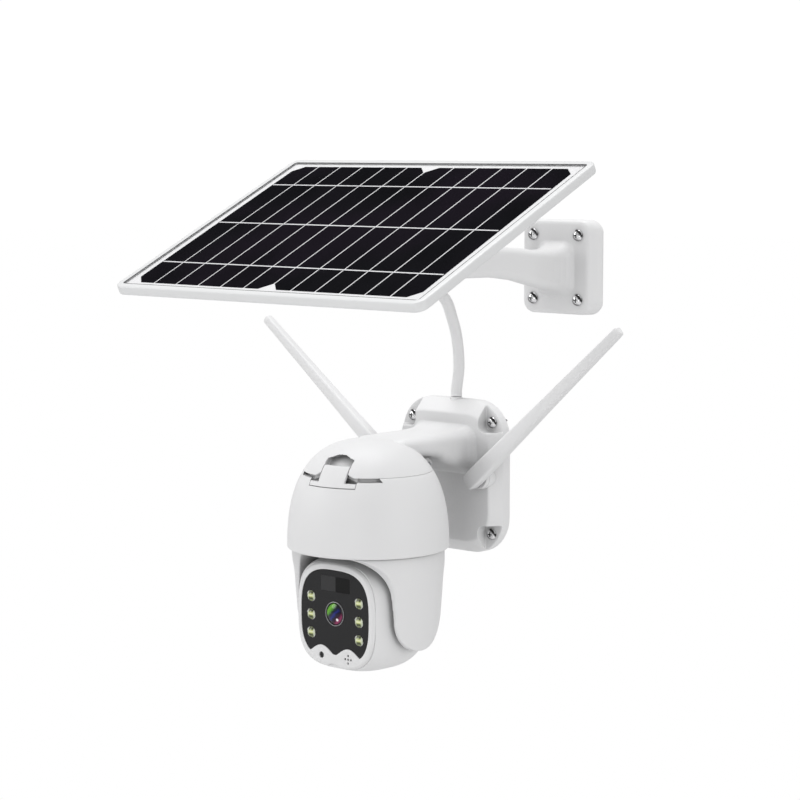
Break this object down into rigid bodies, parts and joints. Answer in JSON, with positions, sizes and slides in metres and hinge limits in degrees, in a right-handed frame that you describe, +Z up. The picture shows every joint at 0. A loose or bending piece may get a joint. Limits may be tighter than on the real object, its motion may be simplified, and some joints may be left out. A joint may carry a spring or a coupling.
{
  "type": "solar-powered pan and tilt security camera",
  "caption": "Wall-mounted dome camera with a pan and tilt head, two folding antennas and a tilting solar panel on its own bracket, joined by a cable.",
  "frame": {"origin": "centre of the camera base's back face, on the wall plane", "axes": "+X to the right for somebody facing the wall, -Y out of the wall, +Z up; the camera looks along -Y"},
  "size_m": [0.4496, 0.361, 0.4059],
  "materials": {
    "white_plastic": "satin white ASA",
    "white_frame": "white painted aluminium",
    "black_acrylic": "polished black",
    "grey_plastic": "moulded grey",
    "solar_cells": "dark blue cells under glass",
    "clear_glass": "clear",
    "chrome_screw": "bright plated",
    "steel": "plain steel",
    "circuit_board": "green solder mask",
    "black_rubber": "moulded rubber",
    "cable_jacket": "light grey cable jacket",
    "battery_wrap": "blue shrink wrap",
    "led": "clear lens over a yellow-green emitter"
  },
  "bodies": {
    "wall_side": {"bracket_housing": "white_plastic", "base_back_plate": "white_plastic", "base_cable_gland": "black_rubber", "camera_wall_screw_top_right": "chrome_screw", "camera_wall_screw_bottom_right": "chrome_screw", "camera_wall_screw_top_left": "chrome_screw", "camera_wall_screw_bottom_left": "chrome_screw", "solar_bracket": "white_plastic", "solar_wall_screw_top_right": "chrome_screw", "solar_wall_screw_bottom_right": "chrome_screw", "solar_wall_screw_top_left": "chrome_screw", "solar_wall_screw_bottom_left": "chrome_screw", "antenna_boss_left": "white_plastic", "antenna_boss_right": "white_plastic", "solar_cable": "cable_jacket", "body_hinge_pin": "steel"},
    "left_antenna": {"antenna_left": "white_plastic"},
    "right_antenna": {"antenna_right": "white_plastic"},
    "lower_body": {"dome_shell": "white_plastic", "chassis_plate": "grey_plastic", "pan_bearing": "steel", "pan_motor": "steel", "battery_tray": "grey_plastic", "battery_cell_front": "battery_wrap", "battery_cell_middle": "battery_wrap", "battery_cell_rear": "battery_wrap", "main_board": "circuit_board", "sim_card_slot": "steel", "latch_pin": "steel"},
    "latch_lever": {"latch": "white_plastic"},
    "pan_rotor": {"yoke": "white_plastic", "pan_shaft": "steel", "tilt_shaft": "steel", "tilt_trunnion": "steel"},
    "tilt_head": {"head_shell": "white_plastic", "head_bezel": "white_plastic", "face_window": "black_acrylic", "lens_barrel": "black_acrylic", "lens_glass": "clear_glass", "sensor_board": "circuit_board", "led_board": "circuit_board", "led_left_top": "led", "led_left_middle": "led", "led_left_bottom": "led", "led_right_top": "led", "led_right_middle": "led", "led_right_bottom": "led", "pir_lens": "grey_plastic", "light_sensor_window": "black_acrylic", "microphone": "black_rubber", "speaker": "grey_plastic", "tilt_motor": "steel"},
    "panel": {"panel_frame": "white_frame", "panel_glass": "clear_glass", "cell_laminate": "solar_cells", "junction_box": "black_acrylic", "junction_gland": "black_rubber", "panel_mount": "white_plastic", "tilt_bolt": "steel"},
    "knob": {"tilt_knob": "black_acrylic"}
  },
  "joints": [
    {"name": "body_hinge", "type": "hinge", "parent": "wall_side", "child": "lower_body", "pos_m": [0, -0.0583, 0.0144], "axis": [1, 0, 0], "range_deg": [0, 25]},
    {"name": "latch_hinge", "type": "hinge", "parent": "lower_body", "child": "latch_lever", "pos_m": [0.00723, -0.16306, 0.0088], "axis": [0.989, 0.1478, 0], "range_deg": [0, 30]},
    {"name": "pan", "type": "hinge", "parent": "lower_body", "child": "pan_rotor", "pos_m": [0, -0.1147, -0.0425], "axis": [0, 0, 1], "range_deg": [-175, 175]},
    {"name": "tilt", "type": "hinge", "parent": "pan_rotor", "child": "tilt_head", "pos_m": [0, -0.1147, -0.098], "axis": [1, 0, 0], "range_deg": [-5, 90]},
    {"name": "antenna_left_swivel", "type": "hinge", "parent": "wall_side", "child": "left_antenna", "pos_m": [-0.0413, -0.0318, 0.002], "axis": [0, 1, 0], "range_deg": [-68, 51]},
    {"name": "antenna_right_swivel", "type": "hinge", "parent": "wall_side", "child": "right_antenna", "pos_m": [0.0413, -0.0318, 0.002], "axis": [0, 1, 0], "range_deg": [-16, 71]},
    {"name": "panel_tilt", "type": "hinge", "parent": "wall_side", "child": "panel", "pos_m": [0.1084, -0.24188, 0.19076], "axis": [1, 0, 0], "range_deg": [-25, 40], "deforming": ["solar_cable"]},
    {"name": "knob_turn", "type": "hinge", "parent": "panel", "child": "knob", "pos_m": [0.1084, -0.24188, 0.19076], "axis": [1, 0, 0], "continuous": true}
  ]
}
